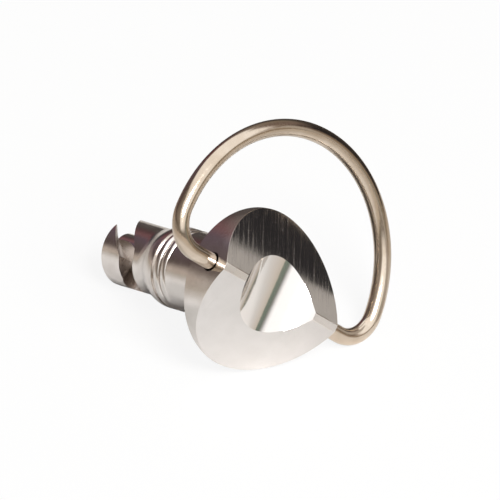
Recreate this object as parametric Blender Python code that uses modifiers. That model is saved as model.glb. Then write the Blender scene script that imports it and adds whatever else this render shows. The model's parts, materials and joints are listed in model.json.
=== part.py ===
# Quarter turn panel stud with a folding D-ring
#
# The stud is one turned and milled piece: a gable-roofed head with a scoop across its
# ridge, a collar with a retaining groove, and a barrel with two cam slots round a core. The
# D-ring is one bent wire whose two ends turn in blind holes drilled into the head's side.
# Both are drawn with the stud standing on its tip: X is the ring's pivot axis, Z is the
# stud's axis. At the end the pair is tipped over to lie as it would come to rest.

import math

import bmesh
import bpy
import numpy as np
from mathutils import Matrix, Vector

# Head
HEAD_RADIUS = 0.0075
HEAD_HEIGHT = 0.00485
RIM_THICKNESS = 0.00025
RIM_CHAMFER = 0.0001
RIDGE_WIDTH = 0.00072
SCOOP_RADIUS = 0.0060
SCOOP_DEPTH = 0.00205

# Shank, measured up from the tip
SHANK_LENGTH = 0.01815
BARREL_RADIUS = 0.00313
TIP_CHAMFER = 0.0003
BARREL_LENGTH = 0.0055
FLARE_LENGTH = 0.0028
COLLAR_RADIUS = 0.0038
LOWER_BEAD_START = 0.0087
BEAD_LENGTH = 0.00076
BEAD_ROUNDING = 0.0003
GROOVE_WIDTH = 0.00024
GROOVE_DEPTH = 0.0003
RELIEF_WIDTH = 0.0002
RELIEF_DEPTH = 0.00018
NECK_FILLET = 0.00035

# Cam slots, angles measured round the stud from the pivot axis
CAM_WIDTH = 0.0020
CAM_HEIGHT = 0.0039
CAM_ENTRY = math.radians(113.0)
CAM_RAMP = math.radians(42.0)
CAM_LEVEL_TURN = math.radians(55.0)
CAM_DETENT_TURN = math.radians(17.0)
CAM_DETENT_DROP = 0.0004
CORE_RADIUS = 0.0017
CORE_SETBACK = 0.0001

# D-ring
WIRE_RADIUS = 0.0008
RING_ARC_RADIUS = 0.01275
RING_REACH = 0.0154
RING_BEND_RADIUS = 0.0030
PIVOT_DEPTH = 0.00216
WIRE_CLEARANCE = 0.0002
HOLE_DEPTH = 0.0027
WIRE_END_GAP = 0.0003
RING_SWING = math.radians(95.6)

# Mesh fineness
TURN_STEPS = 72
SCOOP_STEPS = 144
HOLE_STEPS = 24
CORE_STEPS = 48
MILL_SIDES = 20
MILL_STEP = math.radians(7.5)
RUN_IN_WIDTHS = 0.75
ROUND_STEPS = 3
ARC_STEPS = 40
BEND_STEPS = 8
LEG_STEPS = 4
WIRE_ROUNDNESS = 6

# Derived levels
RIDGE_Z = SHANK_LENGTH + HEAD_HEIGHT
PIVOT_Z = RIDGE_Z - PIVOT_DEPTH
HOLE_RADIUS = WIRE_RADIUS + WIRE_CLEARANCE
DRILL_POINT = HOLE_RADIUS * math.tan(math.radians(31.0))
TOOL_SIZE = 3.0 * HEAD_RADIUS
MERGE = 0.00001

# Clear the scene
for old in list(bpy.data.objects):
    bpy.data.objects.remove(old, do_unlink=True)

scene = bpy.context.scene
parts = bpy.data.collections.new("quarter_turn_stud")
tools = bpy.data.collections.new("cutters")
scene.collection.children.link(parts)
scene.collection.children.link(tools)


def metal(name, color, roughness):
    material = bpy.data.materials.new(name)
    material.use_nodes = True
    shader = material.node_tree.nodes["Principled BSDF"]
    shader.inputs["Base Color"].default_value = (*color, 1.0)
    shader.inputs["Metallic"].default_value = 1.0
    shader.inputs["Roughness"].default_value = roughness
    return material


def add_object(name, data, collection):
    item = bpy.data.objects.new(name, data)
    collection.objects.link(item)
    return item


def mesh_from(bm, name):
    mesh = bpy.data.meshes.new(name)
    bm.normal_update()
    bm.to_mesh(mesh)
    bm.free()
    return mesh


def turned(name, profile, steps, collection):
    """Turn a profile of (radius, height) points, listed top to bottom, round Z."""
    bm = bmesh.new()
    points = [bm.verts.new((radius, 0.0, height)) for radius, height in profile]
    for upper, lower in zip(points, points[1:]):
        bm.edges.new((upper, lower))
    item = add_object(name, mesh_from(bm, name), collection)
    screw = item.modifiers.new("turn", "SCREW")
    screw.steps = steps
    screw.render_steps = steps
    screw.use_merge_vertices = True
    screw.merge_threshold = MERGE
    return item


def make_cutter(item):
    item.display_type = "WIRE"
    item.hide_render = True
    return item


def combine(target, tool, solver="EXACT", operation="DIFFERENCE"):
    boolean = target.modifiers.new(tool.name, "BOOLEAN")
    boolean.operation = operation
    boolean.solver = solver
    boolean.object = tool


def quarter_round(radius, height, size, start):
    """Points of a quarter circle of the given size, centred on (radius, height)."""
    angles = [start - math.pi / 2 * i / ROUND_STEPS for i in range(ROUND_STEPS + 1)]
    return [(radius + size * math.cos(a), height + size * math.sin(a)) for a in angles]


# Turned blank of the stud, top to bottom
def bead_profile(bottom):
    """A rounded land of the collar, from its upper edge down to its lower edge."""
    inner = COLLAR_RADIUS - BEAD_ROUNDING
    upper = quarter_round(inner, bottom + BEAD_LENGTH - BEAD_ROUNDING, BEAD_ROUNDING, math.pi / 2)
    lower = quarter_round(inner, bottom + BEAD_ROUNDING, BEAD_ROUNDING, 0.0)
    return upper + lower


def flare_profile():
    """The shoulder from collar down to barrel, an S-shaped sweep."""
    points = []
    for i in range(2 * ROUND_STEPS + 1):
        t = i / (2 * ROUND_STEPS)
        blend = (1.0 + math.cos(math.pi * t)) / 2
        radius = BARREL_RADIUS + (COLLAR_RADIUS - BARREL_RADIUS) * blend
        points.append((radius, BARREL_LENGTH + FLARE_LENGTH * (1.0 - t)))
    return points


def stud_profile():
    upper_bead = LOWER_BEAD_START + BEAD_LENGTH + GROOVE_WIDTH
    relief_bottom = upper_bead + BEAD_LENGTH
    groove_radius = COLLAR_RADIUS - GROOVE_DEPTH
    relief_radius = COLLAR_RADIUS - RELIEF_DEPTH
    fillet_radius = COLLAR_RADIUS + NECK_FILLET
    fillet = [
        (fillet_radius - NECK_FILLET * math.sin(math.pi / 2 * i / ROUND_STEPS),
         SHANK_LENGTH - NECK_FILLET * (1.0 - math.cos(math.pi / 2 * i / ROUND_STEPS)))
        for i in range(ROUND_STEPS + 1)
    ]
    points = [(0.0, RIDGE_Z), (HEAD_RADIUS, RIDGE_Z)]
    points += [(HEAD_RADIUS, SHANK_LENGTH + RIM_CHAMFER), (HEAD_RADIUS - RIM_CHAMFER, SHANK_LENGTH)]
    points += fillet
    points += [(COLLAR_RADIUS, relief_bottom + RELIEF_WIDTH)]
    points += [(relief_radius, relief_bottom + RELIEF_WIDTH), (relief_radius, relief_bottom)]
    points += bead_profile(upper_bead)
    points += [(groove_radius, upper_bead), (groove_radius, upper_bead - GROOVE_WIDTH)]
    points += bead_profile(LOWER_BEAD_START)
    points += [(relief_radius, LOWER_BEAD_START), (relief_radius, LOWER_BEAD_START - RELIEF_WIDTH)]
    points += [(COLLAR_RADIUS, LOWER_BEAD_START - RELIEF_WIDTH)]
    points += flare_profile()
    points += [(BARREL_RADIUS, TIP_CHAMFER), (BARREL_RADIUS - TIP_CHAMFER, 0.0), (0.0, 0.0)]
    return points


# Roof of the head: one slab on each side takes the stock above the facet away
def roof_cutter(side):
    drop = HEAD_HEIGHT - RIM_THICKNESS
    run = HEAD_RADIUS - RIDGE_WIDTH / 2
    slope = math.atan2(drop, run)
    bm = bmesh.new()
    bmesh.ops.create_cube(bm, size=TOOL_SIZE)
    bmesh.ops.translate(bm, verts=bm.verts, vec=(0.0, TOOL_SIZE / 2 - HEAD_RADIUS, TOOL_SIZE / 2))
    bmesh.ops.rotate(bm, verts=bm.verts, cent=(0, 0, 0), matrix=Matrix.Rotation(-slope, 3, "X"))
    bmesh.ops.translate(bm, verts=bm.verts, vec=(0.0, RIDGE_WIDTH / 2, RIDGE_Z))
    name = "roof_slab_front" if side > 0 else "roof_slab_back"
    slab = make_cutter(add_object(name, mesh_from(bm, name), tools))
    slab.rotation_euler.z = 0.0 if side > 0 else math.pi
    return slab


# Scoop: the side of a cylinder lying across the ridge
def scoop_cutter():
    bm = bmesh.new()
    bmesh.ops.create_cone(
        bm, cap_ends=True, segments=SCOOP_STEPS, radius1=SCOOP_RADIUS, radius2=SCOOP_RADIUS, depth=TOOL_SIZE
    )
    scoop = make_cutter(add_object("scoop_mill", mesh_from(bm, "scoop_mill"), tools))
    scoop.rotation_euler.x = math.pi / 2
    scoop.location.z = RIDGE_Z + SCOOP_RADIUS - SCOOP_DEPTH
    return scoop


# Blind holes for the two ends of the wire, with the cone a drill leaves
def drill_cutter(side):
    outside = HEAD_RADIUS + HOLE_RADIUS
    bottom = HEAD_RADIUS - HOLE_DEPTH
    profile = [(0.0, outside), (HOLE_RADIUS, outside), (HOLE_RADIUS, bottom), (0.0, bottom - DRILL_POINT)]
    name = "drill_right" if side > 0 else "drill_left"
    drill = make_cutter(turned(name, profile, HOLE_STEPS, tools))
    drill.rotation_euler.y = side * math.pi / 2
    drill.location.z = PIVOT_Z
    return drill


# Cam slots: a round mill, wider than the barrel is thick, follows the cam's path, and the
# core that stands between the two slots is put back afterwards
def cam_height(turn):
    """Height of the mill's centre after this much turn from the tip face."""
    ramp_turn = CAM_HEIGHT / (math.tan(CAM_RAMP) * BARREL_RADIUS)
    level_end = ramp_turn + CAM_LEVEL_TURN
    if turn < ramp_turn:
        return CAM_HEIGHT * turn / ramp_turn
    if turn < level_end:
        return CAM_HEIGHT
    share = min((turn - level_end) / CAM_DETENT_TURN, 1.0)
    return CAM_HEIGHT - CAM_DETENT_DROP * (1.0 - math.cos(math.pi * share)) / 2


def mill_points(turn):
    """The mill as a ring of points at each of its ends, its axis through the stud's."""
    angle = CAM_ENTRY + turn
    outward = Vector((math.cos(angle), math.sin(angle), 0.0))
    sideways = Vector((-math.sin(angle), math.cos(angle), 0.0))
    height = cam_height(turn)
    reach = BARREL_RADIUS + CAM_WIDTH / 2
    points = []
    for i in range(MILL_SIDES):
        a = 2 * math.pi * (i + 0.5) / MILL_SIDES
        rim = sideways * (CAM_WIDTH / 2 * math.cos(a))
        rim = rim + Vector((0.0, 0.0, height + CAM_WIDTH / 2 * math.sin(a)))
        points += [rim + outward * reach, rim - outward * reach]
    return points


def cam_cutters():
    """One closed solid for each step that the mill takes along the cam's path."""
    ramp_turn = CAM_HEIGHT / (math.tan(CAM_RAMP) * BARREL_RADIUS)
    run_in = ramp_turn * CAM_WIDTH / CAM_HEIGHT * RUN_IN_WIDTHS
    end = ramp_turn + CAM_LEVEL_TURN + CAM_DETENT_TURN
    count = math.ceil((end + run_in) / MILL_STEP)
    turns = [(end + run_in) * i / count - run_in for i in range(count + 1)]
    steps = []
    for first, second in zip(turns, turns[1:]):
        bm = bmesh.new()
        for point in mill_points(first) + mill_points(second):
            bm.verts.new(point)
        hull = bmesh.ops.convex_hull(bm, input=bm.verts)
        bmesh.ops.delete(bm, geom=hull["geom_interior"], context="VERTS")
        name = f"mill_step_{len(steps) + 1}"
        steps.append(make_cutter(add_object(name, mesh_from(bm, name), tools)))
    return steps


def core_rod():
    """The core, from just inside the tip face up into the solid part of the barrel."""
    top = CAM_HEIGHT + CAM_WIDTH
    profile = [(0.0, top), (CORE_RADIUS, top), (CORE_RADIUS, CORE_SETBACK), (0.0, CORE_SETBACK)]
    return make_cutter(turned("core_rod", profile, CORE_STEPS, tools))


def make_stud():
    stud = turned("stud_body", stud_profile(), TURN_STEPS, parts)
    combine(stud, roof_cutter(1))
    combine(stud, roof_cutter(-1))
    combine(stud, scoop_cutter())
    combine(stud, drill_cutter(1))
    combine(stud, drill_cutter(-1))
    # Each step of the mill starts on the surface where the one before it stopped, and only
    # this solver closes the edges there
    for step in cam_cutters():
        combine(stud, step, solver="MANIFOLD")
    combine(stud, core_rod(), solver="MANIFOLD", operation="UNION")
    stud.data.materials.append(metal("machined_steel", (0.62, 0.60, 0.57), 0.22))
    return stud


# D-ring: legs on the pivot axis, a bend at each side, one arc over the top
def ring_points():
    arc_centre = RING_REACH - RING_ARC_RADIUS
    rise = RING_BEND_RADIUS - arc_centre
    bend_x = math.sqrt((RING_ARC_RADIUS - RING_BEND_RADIUS) ** 2 - rise**2)
    meet = math.atan2(rise, bend_x)
    wire_end = HEAD_RADIUS - HOLE_DEPTH + WIRE_END_GAP
    half = []
    for i in range(LEG_STEPS):
        half.append((wire_end + (bend_x - wire_end) * i / LEG_STEPS, 0.0))
    for i in range(BEND_STEPS):
        a = -math.pi / 2 + (meet + math.pi / 2) * i / BEND_STEPS
        half.append((bend_x + RING_BEND_RADIUS * math.cos(a), RING_BEND_RADIUS * (1.0 + math.sin(a))))
    for i in range(ARC_STEPS // 2):
        a = meet + (math.pi / 2 - meet) * i / (ARC_STEPS // 2)
        half.append((RING_ARC_RADIUS * math.cos(a), arc_centre + RING_ARC_RADIUS * math.sin(a)))
    top = [(0.0, RING_REACH)]
    return half + top + [(-x, z) for x, z in reversed(half)]


def make_ring():
    curve = bpy.data.curves.new("d_ring", "CURVE")
    curve.dimensions = "3D"
    curve.bevel_depth = WIRE_RADIUS
    curve.bevel_resolution = WIRE_ROUNDNESS
    curve.use_fill_caps = True
    points = ring_points()
    spline = curve.splines.new("POLY")
    spline.points.add(len(points) - 1)
    for point, (x, z) in zip(spline.points, points):
        point.co = (x, 0.0, z, 1.0)
    ring = add_object("d_ring", curve, parts)
    ring.location.z = PIVOT_Z
    ring.rotation_euler.x = -RING_SWING
    curve.materials.append(metal("wire_steel", (0.66, 0.61, 0.54), 0.16))
    return ring


# Lying pose
def solid_data(item):
    """Corner points, volume and first moment of an object's evaluated mesh."""
    evaluated = item.evaluated_get(bpy.context.evaluated_depsgraph_get())
    mesh = evaluated.to_mesh()
    mesh.calc_loop_triangles()
    points = np.array([item.matrix_world @ v.co for v in mesh.vertices])
    faces = np.array([t.vertices for t in mesh.loop_triangles])
    evaluated.to_mesh_clear()
    a, b, c = (points[faces[:, i]] for i in range(3))
    volumes = np.einsum("ij,ij->i", a, np.cross(b, c)) / 6
    return points, volumes.sum(), (volumes[:, None] * (a + b + c) / 4).sum(axis=0)


def resting_matrix(items):
    """Turn and drop that lay the items, as one body, on the hull face they settle on.

    The face holds the centre of mass above it and is the one nearest to a lean on the
    head's rim, the tip's edge and the right-hand bend of the ring.
    """
    clouds, volumes, moments = zip(*(solid_data(item) for item in items))
    centre = Vector(sum(moments) / sum(volumes))
    bm = bmesh.new()
    for point in np.vstack(clouds):
        bm.verts.new(point)
    hull = bmesh.ops.convex_hull(bm, input=bm.verts)
    bmesh.ops.delete(bm, geom=hull["geom_interior"], context="VERTS")
    bm.normal_update()
    lean = math.atan2(HEAD_RADIUS - BARREL_RADIUS, SHANK_LENGTH)
    roll = -RING_SWING / 2
    level = math.cos(lean)
    expected = Vector((level * math.cos(roll), level * math.sin(roll), -math.sin(lean)))
    best = None
    for face in bm.faces:
        foot = centre - face.normal * (centre - face.verts[0].co).dot(face.normal)
        if bmesh.geometry.intersect_face_point(face, foot):
            if best is None or face.normal.dot(expected) > best.dot(expected):
                best = face.normal.copy()
    reach = max(vertex.co.dot(best) for vertex in bm.verts)
    bm.free()
    up = -best
    head_side = Vector((0.0, 0.0, 1.0))
    front = (head_side - up * head_side.dot(up)).normalized()
    rows = Matrix((up.cross(front), -front, up))
    turn = rows.to_4x4()
    turned_points = np.vstack(clouds) @ np.array(rows).T
    low, high = turned_points.min(axis=0), turned_points.max(axis=0)
    middle = (low + high) / 2
    return Matrix.Translation((-middle[0], -middle[1], reach)) @ turn


stud_body = make_stud()
d_ring = make_ring()
bpy.context.view_layer.update()
pose = resting_matrix([stud_body, d_ring])
lying = add_object("lying_pose", None, parts)
lying.matrix_world = pose
for item in [stud_body, d_ring, *tools.objects]:
    item.parent = lying
stud_body.data.shade_smooth()
stud_body.data.set_sharp_from_angle(angle=math.radians(30.0))
bpy.context.view_layer.update()
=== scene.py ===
# %% [markdown]
# A loose quarter turn stud lies on a white table: its head's rim, the edge of its tip and one
# bend of its D-ring touch the surface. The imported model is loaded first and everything
# else is fitted to it: where the stud lies is read from the ring's hinge and the head's seat.

import json
import math

import bmesh
import bpy
from mathutils import Matrix, Vector


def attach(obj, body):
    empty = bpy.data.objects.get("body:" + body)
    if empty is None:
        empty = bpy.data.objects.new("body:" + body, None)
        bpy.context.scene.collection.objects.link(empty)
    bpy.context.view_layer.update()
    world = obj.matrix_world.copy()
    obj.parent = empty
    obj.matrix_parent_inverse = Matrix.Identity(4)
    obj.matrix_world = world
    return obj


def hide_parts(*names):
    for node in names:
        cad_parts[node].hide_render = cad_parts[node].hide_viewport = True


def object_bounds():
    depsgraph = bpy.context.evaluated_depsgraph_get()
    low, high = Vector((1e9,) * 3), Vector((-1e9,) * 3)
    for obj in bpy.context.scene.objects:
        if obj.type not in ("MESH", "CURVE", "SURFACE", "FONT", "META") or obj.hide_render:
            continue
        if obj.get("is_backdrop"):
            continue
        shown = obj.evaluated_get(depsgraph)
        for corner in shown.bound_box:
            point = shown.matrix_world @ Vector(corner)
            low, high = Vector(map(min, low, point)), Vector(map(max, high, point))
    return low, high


MM = 0.001

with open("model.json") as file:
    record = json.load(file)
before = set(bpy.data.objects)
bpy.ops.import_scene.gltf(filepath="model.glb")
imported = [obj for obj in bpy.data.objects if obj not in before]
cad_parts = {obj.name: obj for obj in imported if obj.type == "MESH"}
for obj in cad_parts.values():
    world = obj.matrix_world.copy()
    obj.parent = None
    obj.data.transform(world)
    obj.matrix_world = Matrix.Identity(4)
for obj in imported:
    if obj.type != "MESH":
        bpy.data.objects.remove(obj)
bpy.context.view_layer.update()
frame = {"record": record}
joint = frame["record"]["behaviour"]["joints"][0]
seat = frame["record"]["mounts"][0]

# %% [markdown]
# The stud was turned on a lathe, so it is easiest to draw standing on its tip with Z along its
# axis and X along the ring's hinge. One matrix then lays each finished mesh down where the
# model lies: its columns are the hinge's axis, the ring's side and the way the head faces.

# %% Sizes of the stud and where it lies
HEAD_RADIUS = 7.5 * MM
HEAD_HEIGHT = 4.85 * MM
RIM_THICKNESS = 0.25 * MM
RIM_CHAMFER = 0.1 * MM
RIDGE_WIDTH = 0.72 * MM
SCOOP_RADIUS = 6.0 * MM
SCOOP_DEPTH = 2.05 * MM
SHANK_LENGTH = 18.15 * MM
BARREL_RADIUS = 3.13 * MM
COLLAR_RADIUS = 3.8 * MM
PIVOT_DEPTH = 2.16 * MM
RIDGE_Z = SHANK_LENGTH + HEAD_HEIGHT
PIVOT_Z = RIDGE_Z - PIVOT_DEPTH

hinge_axis = Vector(joint["axis"]).normalized()
head_axis = -Vector(seat["axis"]).normalized()
ring_side = head_axis.cross(hinge_axis).normalized()
lay_down = Matrix((hinge_axis, ring_side, head_axis)).transposed().to_4x4()
lay_down.translation = Vector(joint["pos_m"]) - head_axis * PIVOT_Z
print("the stud leans", round(math.degrees(math.asin(head_axis.z)), 1), "degrees from level")

# %% [markdown]
# A lathe makes every round surface of the stud in one setting, so the blank is one profile
# spun about the axis. Small arcs round the edges of the two beads, and a cosine sweep makes
# the shoulder, which on the real stud has no corner where it meets collar and barrel.

# %% Rounds of the profile
ARC_POINTS = 6
BEAD_LENGTH = 0.76 * MM
BEAD_ROUNDING = 0.3 * MM
SHOULDER_BOTTOM = 5.5 * MM
SHOULDER_LENGTH = 2.8 * MM
SHOULDER_POINTS = 24


def arc(radius, height, size, start, turn=-math.pi / 2):
    """Points on part of a circle about (radius, height)."""
    angles = [start + turn * i / ARC_POINTS for i in range(ARC_POINTS + 1)]
    return [(radius + size * math.cos(a), height + size * math.sin(a)) for a in angles]


def bead(bottom):
    """A raised band with two rounded edges, from the top down."""
    inner = COLLAR_RADIUS - BEAD_ROUNDING
    upper_edge = arc(inner, bottom + BEAD_LENGTH - BEAD_ROUNDING, BEAD_ROUNDING, math.pi / 2)
    return upper_edge + arc(inner, bottom + BEAD_ROUNDING, BEAD_ROUNDING, 0.0)


def shoulder():
    """The sweep from the collar down to the barrel."""
    sweep = []
    for i in range(SHOULDER_POINTS + 1):
        share = (1.0 + math.cos(math.pi * i / SHOULDER_POINTS)) / 2
        radius = BARREL_RADIUS + (COLLAR_RADIUS - BARREL_RADIUS) * share
        sweep.append((radius, SHOULDER_BOTTOM + SHOULDER_LENGTH * (1 - i / SHOULDER_POINTS)))
    return sweep


print("points of a bead and of the shoulder:", len(bead(0.0)), len(shoulder()))

# %% [markdown]
# The profile runs from the top of the head down to the tip, along the neck under the head, a
# fine relief line, the two beads with a groove between them, the shoulder and the barrel. It
# is spun in many steps, because a coarse spin shows as facets in a mirror finish.

# %% Turn the blank
TURN_STEPS = 288
MERGE_DISTANCE = 1e-7
BEAD_BOTTOM = 8.7 * MM
BEAD_GROOVE = 0.24 * MM
RELIEF_WIDTH = 0.2 * MM
RELIEF_DEPTH = 0.18 * MM
NECK_RADIUS = 0.35 * MM
TIP_CHAMFER = 0.3 * MM


def blank_profile():
    """Points of (radius, height) from the top of the head down to the tip."""
    upper = BEAD_BOTTOM + BEAD_LENGTH + BEAD_GROOVE
    groove_floor = COLLAR_RADIUS - BEAD_ROUNDING
    relief_floor = COLLAR_RADIUS - RELIEF_DEPTH
    relief_top = upper + BEAD_LENGTH + RELIEF_WIDTH
    neck = (COLLAR_RADIUS + NECK_RADIUS, SHANK_LENGTH - NECK_RADIUS, NECK_RADIUS)
    points = [(0.0, RIDGE_Z), (HEAD_RADIUS, RIDGE_Z), (HEAD_RADIUS, SHANK_LENGTH + RIM_CHAMFER)]
    points += [(HEAD_RADIUS - RIM_CHAMFER, SHANK_LENGTH)]
    points += arc(*neck, start=math.pi / 2, turn=math.pi / 2)
    points += [(COLLAR_RADIUS, relief_top), (relief_floor, relief_top)]
    points += [(relief_floor, upper + BEAD_LENGTH)]
    points += bead(upper)
    points += [(groove_floor, upper), (groove_floor, upper - BEAD_GROOVE)]
    points += bead(BEAD_BOTTOM)
    points += [(relief_floor, BEAD_BOTTOM), (relief_floor, BEAD_BOTTOM - RELIEF_WIDTH)]
    points += [(COLLAR_RADIUS, BEAD_BOTTOM - RELIEF_WIDTH)]
    points += shoulder()
    points += [(BARREL_RADIUS, TIP_CHAMFER), (BARREL_RADIUS - TIP_CHAMFER, 0.0), (0.0, 0.0)]
    return points


def spin_round(profile, steps):
    """Spin points of (radius, height) about Z into a closed solid."""
    bm = bmesh.new()
    points = [bm.verts.new((r, 0.0, z)) for r, z in profile]
    lines = [bm.edges.new(pair) for pair in zip(points, points[1:])]
    bmesh.ops.spin(
        bm,
        geom=points + lines,
        cent=(0, 0, 0),
        axis=(0, 0, 1),
        angle=2 * math.pi,
        steps=steps,
        use_merge=True,
    )
    bmesh.ops.remove_doubles(bm, verts=bm.verts, dist=MERGE_DISTANCE)
    bmesh.ops.recalc_face_normals(bm, faces=bm.faces)
    return bm


blank = spin_round(blank_profile(), TURN_STEPS)
print("turned blank:", len(blank.faces), "faces")

# %% [markdown]
# Two flat cuts make the gable roof of the head. A plane through each edge of the ridge
# slices the stock away and the open cut is filled with one flat face. The crisp edges then
# get a hair's width of bevel, the thin bright line that a real machined edge shows.

# %% Mill the roof
ROOF_SLOPE = math.atan2(HEAD_HEIGHT - RIM_THICKNESS, HEAD_RADIUS - RIDGE_WIDTH / 2)
EDGE_BREAK = 0.08 * MM
CRISP_CORNER = math.radians(25)
BREAK_EDGES_ABOVE = SHANK_LENGTH + RIM_CHAMFER * 1.01


def mill_flat(bm, side):
    result = bmesh.ops.bisect_plane(
        bm,
        geom=bm.verts[:] + bm.edges[:] + bm.faces[:],
        plane_co=(0.0, side * RIDGE_WIDTH / 2, RIDGE_Z),
        plane_no=(0.0, side * math.sin(ROOF_SLOPE), math.cos(ROOF_SLOPE)),
        clear_outer=True,
    )
    loop = [item for item in result["geom_cut"] if isinstance(item, bmesh.types.BMEdge)]
    bmesh.ops.contextual_create(bm, geom=loop)


def is_crisp(edge):
    """An edge of the head between two faces that meet at a clear angle."""
    return (
        len(edge.link_faces) == 2
        and edge.calc_face_angle() > CRISP_CORNER
        and min(v.co.z for v in edge.verts) > BREAK_EDGES_ABOVE
    )


for side in (1, -1):
    mill_flat(blank, side)
bmesh.ops.recalc_face_normals(blank, faces=blank.faces)
bmesh.ops.bevel(
    blank,
    geom=[edge for edge in blank.edges if is_crisp(edge)],
    offset=EDGE_BREAK,
    segments=2,
    profile=0.5,
    affect="EDGES",
    material=-1,
    clamp_overlap=True,
)
print("after the roof:", len(blank.faces), "faces")

# %% [markdown]
# The scoop and the ring's two blind holes go in with Boolean cuts, so each needs a solid of
# the shape of its tool. The scoop's tool is a round bar that lies across the ridge, and the
# drill ends in the cone that a real drill leaves at the bottom of a blind hole.

# %% Tools of the head
HOLE_RADIUS = 0.94 * MM
HOLE_DEPTH = 2.7 * MM
DRILL_POINT = math.radians(31)
DRILL_STEPS = 96
SCOOP_AXIS_Z = RIDGE_Z + SCOOP_RADIUS - SCOOP_DEPTH
SCOOP_STEPS = 480


def make_object(bm, name, place=Matrix()):
    """Move a finished bmesh to its place and link it to the scene as an object."""
    bmesh.ops.transform(bm, matrix=place, verts=bm.verts)
    mesh = bpy.data.meshes.new(name)
    bm.to_mesh(mesh)
    bm.free()
    item = bpy.data.objects.new(name, mesh)
    bpy.context.scene.collection.objects.link(item)
    return item


def rod(radius, length, segments):
    bm = bmesh.new()
    bmesh.ops.create_cone(
        bm, cap_ends=True, segments=segments, radius1=radius, radius2=radius, depth=length
    )
    return bm


def scoop_tool():
    lie = Matrix.Translation((0, 0, SCOOP_AXIS_Z)) @ Matrix.Rotation(math.pi / 2, 4, "X")
    return make_object(rod(SCOOP_RADIUS, 4 * HEAD_RADIUS, SCOOP_STEPS), "scoop_tool", lie)


def drill_tool(side):
    """A drill whose shoulder stands at the full depth of the hole on this side."""
    point = HOLE_RADIUS * math.tan(DRILL_POINT)
    outside = 2 * HOLE_RADIUS
    profile = [(0, -HOLE_DEPTH - point), (HOLE_RADIUS, -HOLE_DEPTH)]
    profile += [(HOLE_RADIUS, outside), (0, outside)]
    aim = Matrix.Rotation(side * math.pi / 2, 4, "Y")
    place = Matrix.Translation((side * HEAD_RADIUS, 0, PIVOT_Z)) @ aim
    return make_object(spin_round(profile, DRILL_STEPS), "drill_tool", place)


print("scoop axis above the ridge, mm:", round((SCOOP_AXIS_Z - RIDGE_Z) / MM, 2))

# %% [markdown]
# The cam slots are cut the way a mill cuts them: a round cutter longer than the barrel is
# thick stands across the axis and climbs as the stud turns. It climbs a ramp from the tip,
# runs level and ends in a shallow detent, where the locked stud comes to rest.

# %% Way of the cam mill
CAM_WIDTH = 2.0 * MM
CAM_HEIGHT = 3.9 * MM
CAM_ENTRY = math.radians(113)
CAM_RAMP = math.radians(42)
CAM_RAMP_TURN = CAM_HEIGHT / (math.tan(CAM_RAMP) * BARREL_RADIUS)
CAM_LEVEL_TURN = math.radians(55)
CAM_DETENT_TURN = math.radians(17)
CAM_DETENT_DROP = 0.4 * MM
CAM_RUN_IN = 0.75
CAM_START = -CAM_RUN_IN * CAM_RAMP_TURN * CAM_WIDTH / CAM_HEIGHT
CAM_END = CAM_RAMP_TURN + CAM_LEVEL_TURN + CAM_DETENT_TURN


def cam_height(turn):
    """How far the mill has climbed where the stud has turned this far."""
    if turn < CAM_RAMP_TURN:
        return CAM_HEIGHT * turn / CAM_RAMP_TURN
    share = min(max(turn - CAM_RAMP_TURN - CAM_LEVEL_TURN, 0) / CAM_DETENT_TURN, 1)
    return CAM_HEIGHT - CAM_DETENT_DROP * (1 - math.cos(math.pi * share)) / 2


print("the cam runs", round(math.degrees(CAM_END)), "degrees round the barrel")

# %% [markdown]
# Each step of the mill's way is the hull round two of its positions, which is solid and
# simple however the way bends. The real slots stop at a round core along the axis, so a rod
# puts the core back once the mill has gone right through.

# %% Tools of the cam
MILL_SIDES = 40
MILL_STEP = math.radians(3.5)
MILL_STEPS = math.ceil((CAM_END - CAM_START) / MILL_STEP)
CORE_RADIUS = 1.7 * MM
CORE_SETBACK = 0.1 * MM
CORE_SIDES = 144


def mill_corners(turn):
    """The corners of the mill where the stud has turned this far."""
    bm = rod(CAM_WIDTH / 2, 2 * (BARREL_RADIUS + CAM_WIDTH / 2), MILL_SIDES)
    stand = Matrix.Rotation(CAM_ENTRY + turn, 4, "Z") @ Matrix.Rotation(math.pi / 2, 4, "Y")
    corners = [stand @ v.co + Vector((0, 0, cam_height(turn))) for v in bm.verts]
    bm.free()
    return corners


def mill_tools():
    turns = [CAM_START + (CAM_END - CAM_START) * i / MILL_STEPS for i in range(MILL_STEPS + 1)]
    for first, second in zip(turns, turns[1:]):
        bm = bmesh.new()
        for corner in mill_corners(first) + mill_corners(second):
            bm.verts.new(corner)
        hull = bmesh.ops.convex_hull(bm, input=bm.verts)
        bmesh.ops.delete(bm, geom=hull["geom_interior"], context="VERTS")
        yield make_object(bm, "mill_tool")


def core_rod():
    top = CAM_HEIGHT + CAM_WIDTH
    middle = Matrix.Translation((0, 0, (top + CORE_SETBACK) / 2))
    return make_object(rod(CORE_RADIUS, top - CORE_SETBACK, CORE_SIDES), "core_rod", middle)


print("steps of the mill:", MILL_STEPS)

# %% [markdown]
# All tools of one kind go on the stud as Boolean modifiers, and the result becomes its mesh.
# The exact solver cuts the head, where the scoop crosses flats and bevels. The manifold solver
# is much quicker on the many small steps of the mill, because every one of them is closed.

# %% Cut the stud
def combine(item, tools, solver, operation="DIFFERENCE"):
    """Cut or join every tool, keep the result as the item's mesh and remove the tools."""
    for tool in tools:
        boolean = item.modifiers.new(tool.name, "BOOLEAN")
        boolean.operation = operation
        boolean.solver = solver
        boolean.object = tool
    bpy.context.view_layer.update()
    ready = item.evaluated_get(bpy.context.evaluated_depsgraph_get())
    result = bpy.data.meshes.new_from_object(ready)
    item.modifiers.clear()
    result.materials.clear()
    item.data = result
    for tool in tools:
        bpy.data.objects.remove(tool)


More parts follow.
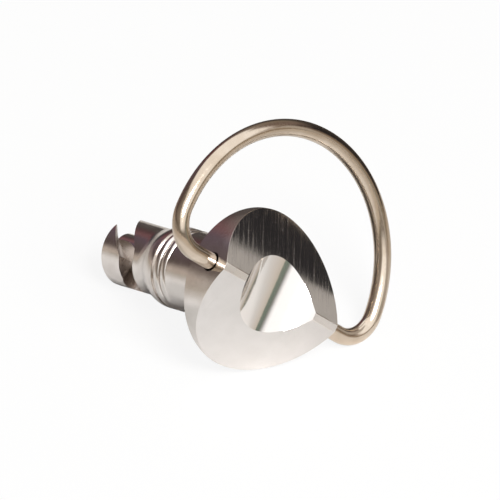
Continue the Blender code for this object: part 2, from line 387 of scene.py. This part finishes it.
stud = make_object(blank, "stud_finish")
combine(stud, [scoop_tool(), drill_tool(1), drill_tool(-1)], "EXACT")
combine(stud, list(mill_tools()), "MANIFOLD")
combine(stud, [core_rod()], "MANIFOLD", "UNION")
print("cut stud:", len(stud.data.polygons), "faces")

# %% [markdown]
# Each way of cutting leaves its own marks, so the faces are sorted by the tool that made
# them: the lathe, the flat mill on the roof, the brush on the ridge, the polished scoop and
# core, and the cam mill. Where a face lies and which way it looks are enough to tell.

# %% Tell the tool from the face
TOOLS = TURNED, ROOF, RIDGE, POLISHED, CAM = range(5)
CAM_ZONE_TOP = 6.2 * MM
TIP_ZONE_TOP = 0.4 * MM
SCOOP_TOLERANCE = 0.01 * MM
STRAIGHT = 0.05


def tool_near_tip(centre, normal):
    """The core, the chamfered tip, the barrel's skin or the walls of the cam slots."""
    radius = math.hypot(centre.x, centre.y)
    outward = (normal.x * centre.x + normal.y * centre.y) / max(radius, 1e-9)
    if outward > 0.99 and radius < CORE_RADIUS * 1.001:
        return POLISHED
    on_tip = normal.z < -0.6 and centre.z < TIP_ZONE_TOP
    on_barrel = outward > 0.8 and radius > BARREL_RADIUS * 0.96
    return TURNED if on_tip or on_barrel else CAM


def tool_on_head(centre, normal):
    """The scoop, the ridge, the roof flats or the turned rim."""
    from_scoop_axis = math.hypot(centre.x, centre.z - SCOOP_AXIS_Z)
    if abs(from_scoop_axis - SCOOP_RADIUS) < SCOOP_TOLERANCE and abs(normal.y) < STRAIGHT:
        return POLISHED
    if normal.z > 0.999:
        return RIDGE
    if abs(normal.z - math.cos(ROOF_SLOPE)) < 0.01 and abs(normal.x) < STRAIGHT:
        return ROOF
    return TURNED


def tool_of(face):
    if face.center.z < CAM_ZONE_TOP:
        return tool_near_tip(face.center, face.normal)
    if face.center.z < SHANK_LENGTH + RIM_CHAMFER:
        return TURNED
    return tool_on_head(face.center, face.normal)


for face in stud.data.polygons:
    face.material_index = tool_of(face)
tools_used = [face.material_index for face in stud.data.polygons]
print("faces by tool:", [tools_used.count(tool) for tool in TOOLS])

# %% [markdown]
# The stud's own upright coordinates are stored on its points, for the materials to read, and
# then the mesh is laid down. Round surfaces are shaded smooth, and the milled flats stay
# flat up to their very edges.

# %% Lay the stud down
STUD_CREASE = math.radians(22)


def store_place(mesh):
    """Keep each point's upright position, then lay the mesh down."""
    layer = mesh.attributes.new("place", "FLOAT_VECTOR", "POINT")
    layer.data.foreach_set("vector", [c for v in mesh.vertices for c in v.co])
    mesh.transform(lay_down)
    mesh.update()


store_place(stud.data)
stud.data.shade_smooth()
stud.data.set_sharp_from_angle(angle=STUD_CREASE)
for face in stud.data.polygons:
    face.use_smooth = face.material_index not in (ROOF, RIDGE)
print("flat faces:", sum(not face.use_smooth for face in stud.data.polygons))

# %% [markdown]
# The D-ring is one piece of wire. A circle is the wire's section: it is drawn out along the
# hinge axis for a leg, spun round a bend, spun round the big arc, and so on to the other
# leg. Spinning keeps the wire's thickness true all the way round.

# %% Sizes of the ring, and two ways to draw a wire on
WIRE_RADIUS = 0.8 * MM
WIRE_SIDES = 40
WIRE_END_GAP = 0.3 * MM
WIRE_CREASE = math.radians(40)
RING_ARC_RADIUS = 12.75 * MM
RING_ARC_STEPS = 160
RING_BEND_RADIUS = 3.0 * MM
RING_BEND_STEPS = 16
RING_REACH = 15.4 * MM
RING_SWING = math.radians(95.6)


def draw_out(bm, face, length):
    """Draw the end face straight out along X and return the new end face."""
    grown = bmesh.ops.extrude_face_region(bm, geom=[face])["geom"]
    moved = [item for item in grown if isinstance(item, bmesh.types.BMVert)]
    bmesh.ops.translate(bm, verts=moved, vec=(length, 0, 0))
    return next(item for item in grown if isinstance(item, bmesh.types.BMFace))


def bend(bm, face, centre, turn, steps):
    """Bend on round a centre in the ring's plane and return the new end face."""
    grown = bmesh.ops.spin(bm, geom=[face], cent=centre, axis=(0, 0, 1), angle=turn, steps=steps)
    return next(item for item in grown["geom_last"] if isinstance(item, bmesh.types.BMFace))


print("ring is", round(2 * (RING_ARC_RADIUS + WIRE_RADIUS) / MM, 1), "mm across")


# %% Bend the ring
def bend_wire():
    """The ring in its own plane: X along the hinge, Y out to the top of the arc."""
    arc_centre = RING_REACH - RING_ARC_RADIUS
    rise = RING_BEND_RADIUS - arc_centre
    bend_x = math.sqrt((RING_ARC_RADIUS - RING_BEND_RADIUS) ** 2 - rise**2)
    corner = math.pi / 2 + math.atan2(rise, bend_x)
    leg_end = HEAD_RADIUS - HOLE_DEPTH + WIRE_END_GAP
    bm = bmesh.new()
    bmesh.ops.create_circle(bm, segments=WIRE_SIDES, radius=WIRE_RADIUS, cap_ends=True)
    start = Matrix.Translation((leg_end, 0, 0)) @ Matrix.Rotation(math.pi / 2, 4, "Y")
    bmesh.ops.transform(bm, matrix=start, verts=bm.verts)
    bm.faces.ensure_lookup_table()
    end = draw_out(bm, bm.faces[0], bend_x - leg_end)
    end = bend(bm, end, (bend_x, RING_BEND_RADIUS, 0), corner, RING_BEND_STEPS)
    end = bend(bm, end, (0, arc_centre, 0), 2 * (math.pi - corner), RING_ARC_STEPS)
    end = bend(bm, end, (-bend_x, RING_BEND_RADIUS, 0), corner, RING_BEND_STEPS)
    draw_out(bm, end, bend_x - leg_end)
    bmesh.ops.remove_doubles(bm, verts=bm.verts, dist=MERGE_DISTANCE)
    bmesh.ops.recalc_face_normals(bm, faces=bm.faces)
    return bm


swing = Matrix.Translation((0, 0, PIVOT_Z)) @ Matrix.Rotation(math.pi / 2 - RING_SWING, 4, "X")
ring = make_object(bend_wire(), "ring_wire", swing)
store_place(ring.data)
ring.data.shade_smooth()
ring.data.set_sharp_from_angle(angle=WIRE_CREASE)
print("ring:", len(ring.data.polygons), "faces")

# %% [markdown]
# Each finish is one Principled shader whose colour, roughness and bump come from noise. These
# helpers keep the node trees short: a node's inputs are given by name or number, either as a
# value or as the output of another node.


# %% Helpers for node trees
def add_node(tree, kind, inputs=None, **settings):
    made = tree.nodes.new(kind)
    for name, value in settings.items():
        setattr(made, name, value)
    for socket, value in (inputs or {}).items():
        if isinstance(value, bpy.types.NodeSocket):
            tree.links.new(value, made.inputs[socket])
        else:
            made.inputs[socket].default_value = value
    return made


def output_of(tree, kind, inputs=None, **settings):
    """Add a node and return its first output."""
    return add_node(tree, kind, inputs, **settings).outputs[0]


def calculate(tree, operation, *inputs):
    return output_of(tree, "ShaderNodeMath", dict(enumerate(inputs)), operation=operation)


def multiplied(tree, first, second):
    """Two vectors or colours, multiplied part by part."""
    return output_of(tree, "ShaderNodeVectorMath", {0: first, 1: second}, operation="MULTIPLY")


def mix_colour(tree, factor, first, second):
    inputs = {"Factor": factor, "A": first, "B": second}
    return add_node(tree, "ShaderNodeMix", inputs, data_type="RGBA").outputs["Result"]


def spread(tree, value, low, high, start=0.3, end=0.7):
    """Low up to where the value reaches start, high from end on, and even between."""
    values = {"Value": value, "From Min": start, "From Max": end, "To Min": low, "To Max": high}
    return output_of(tree, "ShaderNodeMapRange", values)


def blank_material(name):
    material = bpy.data.materials.new(name)
    material.use_nodes = True
    tree = material.node_tree
    tree.nodes.clear()
    return material, tree


print("materials before the finishes:", len(bpy.data.materials))

# %% [markdown]
# The noise reads the place attribute, which is measured along and around the stud, so that
# the marks follow the tool that made them: rings from the lathe, straight lines from a mill.
# Fine marks set the gloss and a shallow bump. Slow mottling shifts the colour and dents the
# surface a little, and small spots are darker and duller.

# %% One worked finish
MOTTLE_PER_MM = (0.45, 0.45, 0.45)
SPOTS_PER_MM = (9.0, 9.0, 9.0)
SPOT_COLOUR = {"low": 0.0, "high": 0.35, "start": 0.62, "end": 0.78}
SPOT_ROUGHNESS = {"low": 0.0, "high": 0.08, "start": 0.55, "end": 0.8}
BUMP_STRENGTH = 0.5


def noise(tree, vector, per_mm, detail, roughness):
    """Noise with this many marks per millimetre along X, Y and Z."""
    scaled = multiplied(tree, vector, [amount / MM for amount in per_mm])
    values = {"Vector": scaled, "Scale": 1.0, "Detail": detail, "Roughness": roughness}
    return output_of(tree, "ShaderNodeTexNoise", values)


def lathe_place(tree, vector):
    """Distance from the axis and height, so that noise makes rings round the stud."""
    parts = add_node(tree, "ShaderNodeSeparateXYZ", {0: vector}).outputs
    flat = multiplied(tree, vector, (1, 1, 0))
    length = add_node(tree, "ShaderNodeVectorMath", {0: flat}, operation="LENGTH")
    return output_of(tree, "ShaderNodeCombineXYZ", {0: length.outputs["Value"], 2: parts[2]})


def bumped(tree, height, depth, below=None):
    values = {"Height": height, "Strength": BUMP_STRENGTH, "Distance": depth}
    if below is not None:
        values["Normal"] = below
    return output_of(tree, "ShaderNodeBump", values)


def steel(name, marks_per_mm, tones, gloss, depths, lathe=False, gloss_from=0.3):
    """Tones are main, mottled and spotted; depths are those of the marks and of the dents."""
    material, tree = blank_material(name)
    place = add_node(tree, "ShaderNodeAttribute", attribute_name="place").outputs["Vector"]
    marks_place = lathe_place(tree, place) if lathe else place
    marks = noise(tree, marks_place, marks_per_mm, 4.0, 0.6)
    mottle = noise(tree, place, MOTTLE_PER_MM, 3.0, 0.6)
    spots = noise(tree, place, SPOTS_PER_MM, 2.0, 0.5)
    main, mottled, spotted = [(*tone, 1) for tone in tones]
    colour = mix_colour(tree, spread(tree, mottle, 0.0, 1.0), main, mottled)
    colour = mix_colour(tree, spread(tree, spots, **SPOT_COLOUR), colour, spotted)
    rough_marks = spread(tree, marks, *gloss, gloss_from)
    rough = calculate(tree, "ADD", rough_marks, spread(tree, spots, **SPOT_ROUGHNESS))
    normal = bumped(tree, marks, depths[0], bumped(tree, mottle, depths[1]))
    look = {"Base Color": colour, "Roughness": rough, "Normal": normal, "Metallic": 1.0}
    shader = output_of(tree, "ShaderNodeBsdfPrincipled", look)
    add_node(tree, "ShaderNodeOutputMaterial", {"Surface": shader})
    return material


print("spots per mm:", SPOTS_PER_MM[0])

# %% Lathe finish
WARM_STEEL = (0.80, 0.755, 0.72)
DULL_STEEL = (0.68, 0.63, 0.59)
STAIN = (0.42, 0.36, 0.31)
turned_steel = steel(
    "turned_steel",
    marks_per_mm=(14.0, 0.0, 14.0),
    tones=(WARM_STEEL, DULL_STEEL, STAIN),
    gloss=(0.10, 0.24),
    depths=(5e-6, 1.2e-5),
    lathe=True,
)
print("lathe finish:", len(turned_steel.node_tree.nodes), "nodes")

# %% [markdown]
# The stud is plated steel: a slightly warm pale grey. Beside the lathe rings of the shank and the
# rim, long fine streaks run down the two roof flats, a cross-brushed grain dulls the ridge, the
# scoop is polished and the cam slots keep the coarse marks of their mill. Their darker tone is
# partly the duller milled surface and partly painted shade inside the slots.

# %% Finishes of the milled places
PALE_STEEL = (0.685, 0.653, 0.63)
EVEN_STEEL = (0.63, 0.60, 0.575)
RIDGE_STEEL = (0.76, 0.73, 0.715)
POLISHED_STEEL = (0.80, 0.775, 0.75)
# Darker than the rest: partly the duller milled surface, partly painted shade inside the cam
# slots.
MILLED_SHADED_STEEL = (0.52, 0.46, 0.42)
streaked_steel = steel(
    "streaked_steel",
    marks_per_mm=(6.5, 0.22, 0.22),
    tones=(PALE_STEEL, EVEN_STEEL, DULL_STEEL),
    gloss=(0.10, 0.27),
    depths=(7e-6, 1e-6),
    gloss_from=0.5,
)
crossed_steel = steel(
    "crossed_steel",
    marks_per_mm=(9.0, 3.0, 3.0),
    tones=(RIDGE_STEEL, WARM_STEEL, DULL_STEEL),
    gloss=(0.25, 0.40),
    depths=(5e-6, 1e-6),
)
polished_steel = steel(
    "polished_steel",
    marks_per_mm=(7.0, 0.2, 7.0),
    tones=(POLISHED_STEEL, WARM_STEEL, DULL_STEEL),
    gloss=(0.04, 0.12),
    depths=(1e-6, 0.6e-5),
)
milled_shaded_steel = steel(
    "milled_shaded_steel",
    marks_per_mm=(4.0, 4.0, 9.0),
    tones=(MILLED_SHADED_STEEL, MILLED_SHADED_STEEL, STAIN),
    gloss=(0.22, 0.42),
    depths=(6e-6, 0.8e-5),
)
for finish in (turned_steel, streaked_steel, crossed_steel, polished_steel, milled_shaded_steel):
    stud.data.materials.append(finish)
print("stud finishes:", [finish.name for finish in stud.data.materials])

# %% [markdown]
# The ring is drawn spring wire with a warmer bright plating. Drawing leaves it smooth and
# glossy, and handling leaves small dents and rubbed, browner spots.

# %% Finish of the ring
WIRE_TONE = (0.66, 0.565, 0.465)
WIRE_DULL = (0.56, 0.46, 0.36)
wire_steel = steel(
    "drawn_wire",
    marks_per_mm=(3.0, 3.0, 3.0),
    tones=(WIRE_TONE, WIRE_DULL, STAIN),
    gloss=(0.08, 0.20),
    depths=(2e-6, 0.9e-5),
)
ring.data.materials.append(wire_steel)
print("ring finish:", ring.data.materials[0].name)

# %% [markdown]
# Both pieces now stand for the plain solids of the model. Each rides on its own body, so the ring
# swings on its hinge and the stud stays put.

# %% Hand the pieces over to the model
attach(stud, "stud")
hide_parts("stud_body")
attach(ring, "ring")
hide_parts("d_ring")
print("pieces:", stud.name, ring.name)

# %% [markdown]
# The table is a plain sheet of pale paper. The camera sees it white with the part's soft shadow.
# In the metal it is a matt sheet with light and shade painted into its colour: a painted pool of
# light round the part, warmer and dimmer further out, and a painted shadow of the head, a dim
# patch just left of it. Behind the part, on the right, the sheet ends about 5 cm away.

# %% Tones of the floor
WHITE = (1, 1, 1, 1)
PAPER = (0.9, 0.89, 0.87, 1)
FLOOR_SIZE = 1.2
FLOOR_GAP = 0.01 * MM
CAMERA_SHARE = 0.9
SHEET_CENTRE = (-130 * MM, -100 * MM, 0)
SHEET_RADIUS = 215 * MM
# Painted light: a pool of light painted on the mirrored sheet, bright round the part, dimmer and
# warmer further out.
PAINTED_POOL_CENTRE = (-14 * MM, -6 * MM, 0)
PAINTED_POOL_REACH = 120 * MM
PAINTED_POOL_TONES = [
    (0.00, (0.92, 0.92, 0.92)),
    (0.10, (0.88, 0.88, 0.875)),
    (0.17, (0.89, 0.88, 0.87)),
    (0.24, (0.88, 0.865, 0.845)),
    (0.31, (0.72, 0.695, 0.665)),
    (0.40, (0.67, 0.63, 0.585)),
    (0.62, (0.62, 0.565, 0.50)),
    (1.00, (0.56, 0.50, 0.43)),
]
# Painted shadow: a dim patch just left of the head, painted on the mirrored sheet where the
# head's shadow falls.
PAINTED_SHADOW_CENTRE = (-19 * MM, 2 * MM, 0)
PAINTED_SHADOW_REACH = 13 * MM
PAINTED_SHADOW_TONES = [
    (0.0, (0.74, 0.74, 0.73)),
    (0.5, (0.77, 0.77, 0.76)),
    (0.8, (0.88, 0.88, 0.88)),
    (1.0, (1, 1, 1)),
]
sheet_end = SHEET_RADIUS - Vector(SHEET_CENTRE).length
print("the sheet ends", round(sheet_end / MM), "mm behind the part")


# %% Lay the floor
def ramp(tree, value, stops):
    made = add_node(tree, "ShaderNodeValToRGB", {0: value})
    keys = made.color_ramp.elements
    while len(keys) < len(stops):
        keys.new(0.5)
    for key, (position, colour) in zip(keys, stops):
        key.position = position
        key.color = (*colour, 1)
    return made.outputs["Color"]


def distance_from(tree, vector, centre):
    made = add_node(tree, "ShaderNodeVectorMath", {0: vector, 1: centre}, operation="DISTANCE")
    return made.outputs["Value"]


def spot_tone(tree, place, centre, reach, stops):
    """Rings of tone about a centre, out to its reach."""
    return ramp(tree, calculate(tree, "DIVIDE", distance_from(tree, place, centre), reach), stops)


def blend(tree, factor, first, second):
    return output_of(tree, "ShaderNodeMixShader", {0: factor, 1: first, 2: second})


def paper_in_metal(tree):
    """The matt sheet that the metal mirrors, with a painted pool of light and a painted shadow,
    and nothing beyond its end.
    """
    place = add_node(tree, "ShaderNodeTexCoord").outputs["Object"]
    # Painted light and shade: the pool of light and the head's shadow are painted into the
    # sheet's colour.
    painted_pool = spot_tone(tree, place, PAINTED_POOL_CENTRE, PAINTED_POOL_REACH, PAINTED_POOL_TONES)
    painted_shadow = spot_tone(tree, place, PAINTED_SHADOW_CENTRE, PAINTED_SHADOW_REACH, PAINTED_SHADOW_TONES)
    sheet = output_of(tree, "ShaderNodeBsdfDiffuse", {"Color": multiplied(tree, painted_pool, painted_shadow)})
    from_centre = distance_from(tree, place, SHEET_CENTRE)
    beyond = calculate(tree, "GREATER_THAN", from_centre, SHEET_RADIUS)
    return blend(tree, beyond, sheet, output_of(tree, "ShaderNodeBsdfTransparent"))


def paper_material():
    material, tree = blank_material("pale_paper")
    seen = add_node(tree, "ShaderNodeLightPath").outputs
    mirrored = calculate(tree, "MAXIMUM", seen["Is Glossy Ray"], seen["Is Transmission Ray"])
    matt = output_of(tree, "ShaderNodeBsdfDiffuse", {"Color": PAPER})
    white = output_of(tree, "ShaderNodeEmission", {"Color": WHITE, "Strength": 1.0})
    to_camera = calculate(tree, "MULTIPLY", seen["Is Camera Ray"], CAMERA_SHARE)
    surface = blend(tree, mirrored, blend(tree, to_camera, matt, white), paper_in_metal(tree))
    add_node(tree, "ShaderNodeOutputMaterial", {"Surface": surface})
    return material


def make_floor():
    bm = bmesh.new()
    bmesh.ops.create_grid(bm, x_segments=1, y_segments=1, size=FLOOR_SIZE / 2)
    bmesh.ops.translate(bm, verts=bm.verts, vec=(0, 0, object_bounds()[0].z - FLOOR_GAP))
    floor = make_object(bm, "floor")
    floor.data.materials.append(paper_material())
    floor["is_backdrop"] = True
    return floor


floor = make_floor()
print("floor at", round(floor.data.vertices[0].co.z / MM, 3), "mm")

# %% [markdown]
# Bright metal shows its surroundings, so the surroundings are what make it look like metal.
# The room is drawn as a panorama. For each compass direction, four ramps say what colour
# stands on the horizon, what colours the wall has low and high, and how high it reaches.
# Directions are in degrees: 0 is +Y and 90 is +X. Above the wall the room is white.

# %% Colours of the surroundings
WHITE_ROOM = 1.3
OPEN = (WHITE_ROOM, WHITE_ROOM, WHITE_ROOM)
HORIZON = {
    -180: (0.26, 0.24, 0.21), -150: (0.24, 0.22, 0.19), -120: (0.28, 0.25, 0.21),
    -60: (0.45, 0.41, 0.37), -36: (0.60, 0.52, 0.45), -15: (0.38, 0.31, 0.28),
    5: (0.20, 0.15, 0.16), 15: (0.05, 0.05, 0.06), 30: (0.10, 0.085, 0.08),
    60: (0.07, 0.06, 0.055), 114: (0.035, 0.03, 0.03), 124: (0.28, 0.23, 0.18),
    138: (0.42, 0.34, 0.26), 142: (0.38, 0.32, 0.25), 147: (0.24, 0.27, 0.22),
    157: (0.19, 0.235, 0.19), 164: (0.30, 0.26, 0.25), 180: (0.26, 0.24, 0.21),
}
WALL = {
    -180: OPEN, -150: OPEN, -125: (0.30, 0.27, 0.23), -90: (0.20, 0.17, 0.14),
    -54: (0.16, 0.125, 0.11), -28: (0.10, 0.075, 0.07), -12: (0.12, 0.085, 0.09),
    0: (0.13, 0.09, 0.115), 11: (0.20, 0.09, 0.095), 20: (0.09, 0.035, 0.04),
    32: (0.09, 0.075, 0.07), 60: (0.09, 0.08, 0.07), 85: (0.03, 0.029, 0.031),
    114: (0.026, 0.025, 0.027), 122: (0.18, 0.14, 0.12), 132: (0.30, 0.24, 0.20),
    146: OPEN, 180: OPEN,
}
UPPER_WALL = {
    -180: OPEN, -150: OPEN, -125: (0.38, 0.34, 0.29), -90: (0.32, 0.28, 0.25),
    -54: (0.24, 0.20, 0.17), -28: (0.14, 0.11, 0.105), 0: (0.13, 0.095, 0.115),
    12: (0.20, 0.10, 0.105), 30: (0.20, 0.16, 0.15), 60: (0.30, 0.26, 0.22),
    89: (0.25, 0.20, 0.175), 115: (0.26, 0.20, 0.175), 132: (0.38, 0.30, 0.24),
    146: OPEN, 180: OPEN,
}
WALL_HEIGHT = {
    -180: 9, -150: 12, -135: 20, -120: 38, -108: 56, -95: 66, -80: 68, -50: 64, -20: 55,
    0: 46, 30: 44, 60: 50, 90: 54, 110: 44, 125: 28, 140: 14, 150: 9, 180: 9,
}
print("the wall is up to", max(WALL_HEIGHT.values()), "degrees high")

# %% [markdown]
# The world's nodes turn a direction into a compass angle and a height, and blend from the
# horizon to the low wall, the upper wall and the open room above. Mirror rays see all that.
# Other rays see an even dim room, which fills the shadows, and the camera sees white.

# %% Surroundings
ZENITH = 90.0
HORIZON_BLEND = (4.0, 12.0)
UPPER_BLEND = (17.0, 27.0)
WALL_TOP_BLEND = (-3.0, 3.0)
EVEN_ROOM = 0.12

world = bpy.data.worlds.new("studio")
world.use_nodes = True
bpy.context.scene.world = world
room = world.node_tree
room.nodes.clear()


def by_compass(stops):
    """A ramp over the compass, from -180 to 180 degrees."""
    return ramp(room, compass, [((angle + 180) / 360, colour) for angle, colour in stops.items()])


def background(colour, strength=1.0):
    return output_of(room, "ShaderNodeBackground", {"Color": colour, "Strength": strength})


direction = add_node(room, "ShaderNodeTexCoord").outputs["Generated"]
toward = add_node(room, "ShaderNodeSeparateXYZ", {0: direction}).outputs
angle_round = calculate(room, "ARCTAN2", toward[0], toward[1])
compass = calculate(room, "MULTIPLY_ADD", angle_round, 0.5 / math.pi, 0.5)
height = calculate(room, "DEGREES", calculate(room, "ARCSINE", toward[2]))
wall_shares = {angle: [top / ZENITH] * 3 for angle, top in WALL_HEIGHT.items()}
wall_top = calculate(room, "MULTIPLY", by_compass(wall_shares), ZENITH)
over_wall = calculate(room, "SUBTRACT", height, wall_top)
on_wall = spread(room, height, 0.0, 1.0, *HORIZON_BLEND)
panorama = mix_colour(room, on_wall, by_compass(HORIZON), by_compass(WALL))
on_upper_wall = spread(room, height, 0.0, 1.0, *UPPER_BLEND)
panorama = mix_colour(room, on_upper_wall, panorama, by_compass(UPPER_WALL))
over_top = spread(room, over_wall, 0.0, 1.0, *WALL_TOP_BLEND)
panorama = mix_colour(room, over_top, panorama, (*OPEN, 1))
sight = add_node(room, "ShaderNodeLightPath").outputs
lit = blend(room, sight["Is Glossy Ray"], background(WHITE, EVEN_ROOM), background(panorama))
seen_room = blend(room, sight["Is Camera Ray"], lit, background(WHITE))
add_node(room, "ShaderNodeOutputWorld", {"Surface": seen_room})
print("surroundings set, nodes:", len(room.nodes))

# %% [markdown]
# One soft lamp stands in front of the head and above it. The part's shadow falls behind it,
# and the barrel and the wire show that darker floor along their undersides.

# %% Lamp
LAMP_PLACE = Vector((-0.17, -0.64, 0.62))
LAMP_SIZE = 0.4
LAMP_WATTS = 11.2
lamp_data = bpy.data.lights.new("key_lamp", "AREA")
lamp_data.shape = "DISK"
lamp_data.size = LAMP_SIZE
lamp_data.energy = LAMP_WATTS
lamp = bpy.data.objects.new("key_lamp", lamp_data)
bpy.context.scene.collection.objects.link(lamp)
aim = LAMP_PLACE.to_track_quat("Z", "Y").to_matrix().to_4x4()
lamp.matrix_world = Matrix.Translation(LAMP_PLACE) @ aim
print("lamp is", round(LAMP_PLACE.length, 2), "m away")

# %% [markdown]
# The photograph was taken from the front left and above with so long a lens that nothing
# shrinks with distance. A camera without perspective gives the same flat view. Its
# directions were measured against the stud, so lay_down turns them with the part, and the
# middle of the ridge fixes where the frame is centred.

# %% Camera
VIEW_WIDTH = 45.65 * MM
CAMERA_DISTANCE = 500 * MM
RIDGE_IN_IMAGE = (2.8105 * MM, -4.3262 * MM)
BACK_ON_STUD = Vector((-0.629031, -0.113406, 0.769063))
UP_ON_STUD = Vector((-0.385487, 0.904605, -0.181903))
turn_down = lay_down.to_3x3()
looking_back = (turn_down @ BACK_ON_STUD).normalized()
image_up = (turn_down @ UP_ON_STUD).normalized()
image_right = image_up.cross(looking_back).normalized()
ridge_middle = lay_down @ Vector((0, 0, RIDGE_Z))
image_centre = ridge_middle - image_right * RIDGE_IN_IMAGE[0] - image_up * RIDGE_IN_IMAGE[1]
camera_data = bpy.data.cameras.new("camera")
camera_data.type = "ORTHO"
camera_data.ortho_scale = VIEW_WIDTH
camera = bpy.data.objects.new("camera", camera_data)
bpy.context.scene.collection.objects.link(camera)
image_axes = Matrix((image_right, image_up, looking_back)).transposed().to_4x4()
camera_place = image_centre + looking_back * CAMERA_DISTANCE
camera.matrix_world = Matrix.Translation(camera_place) @ image_axes
bpy.context.scene.camera = camera
bpy.context.scene.view_settings.view_transform = "Standard"
print("camera sees", round(VIEW_WIDTH / MM, 2), "mm across")

# %% [markdown]
# The back flat of the roof mirrors what stands low on the right. There it is near black, but
# beside the ridge it shows a card with an upright edge. The card glows by itself, though it is no
# lamp, so its bright reflection in the flat is painted light. It stands close by, so its edge
# stays sharp in the metal. Only mirror rays see it.

# %% Glowing card at the right
CARD_DISTANCE = 15 * MM
CARD_WIDTH = 4 * MM
CARD_HEIGHT = 26 * MM
CARD_EDGE_ON_FLAT = 2.71 * MM
CARD_GLOW_TONE = (0.56, 0.525, 0.485, 1)
UPWARDS = Vector((0, 0, 1))


def card_place():
    """Stand the card where the flat mirrors its edge at the right distance from the ridge."""
    flat_normal = turn_down @ Vector((0, math.sin(ROOF_SLOPE), math.cos(ROOF_SLOPE)))
    down_flat = turn_down @ Vector((0, math.cos(ROOF_SLOPE), -math.sin(ROOF_SLOPE)))
    edge = lay_down @ Vector((0, RIDGE_WIDTH / 2, RIDGE_Z)) + down_flat * CARD_EDGE_ON_FLAT
    mirrored = (-looking_back).reflect(flat_normal)
    across = Vector((mirrored.y, -mirrored.x, 0)).normalized()
    foot = edge + mirrored * CARD_DISTANCE
    middle = Vector((foot.x, foot.y, 0)) + across * CARD_WIDTH / 2 + UPWARDS * CARD_HEIGHT / 2
    card_axes = Matrix((across, UPWARDS, across.cross(UPWARDS))).transposed().to_4x4()
    return Matrix.Translation(middle) @ card_axes


def make_card():
    bm = bmesh.new()
    bmesh.ops.create_grid(bm, x_segments=1, y_segments=1, size=0.5)
    bmesh.ops.scale(bm, verts=bm.verts, vec=(CARD_WIDTH, CARD_HEIGHT, 1))
    card = make_object(bm, "glowing_card", card_place())
    material, tree = blank_material("glowing_card")
    # The card glows by its own emission, though it is no lamp, and this paints a reflection into
    # the back flat.
    glow = output_of(tree, "ShaderNodeEmission", {"Color": CARD_GLOW_TONE, "Strength": 1.0})
    add_node(tree, "ShaderNodeOutputMaterial", {"Surface": glow})
    card.data.materials.append(material)
    card.visible_camera = False
    card.visible_diffuse = False
    card.visible_shadow = False
    card.visible_transmission = False
    card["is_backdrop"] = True
    return card


card = make_card()
print("card stands at", [round(c / MM, 1) for c in card.data.vertices[0].co])
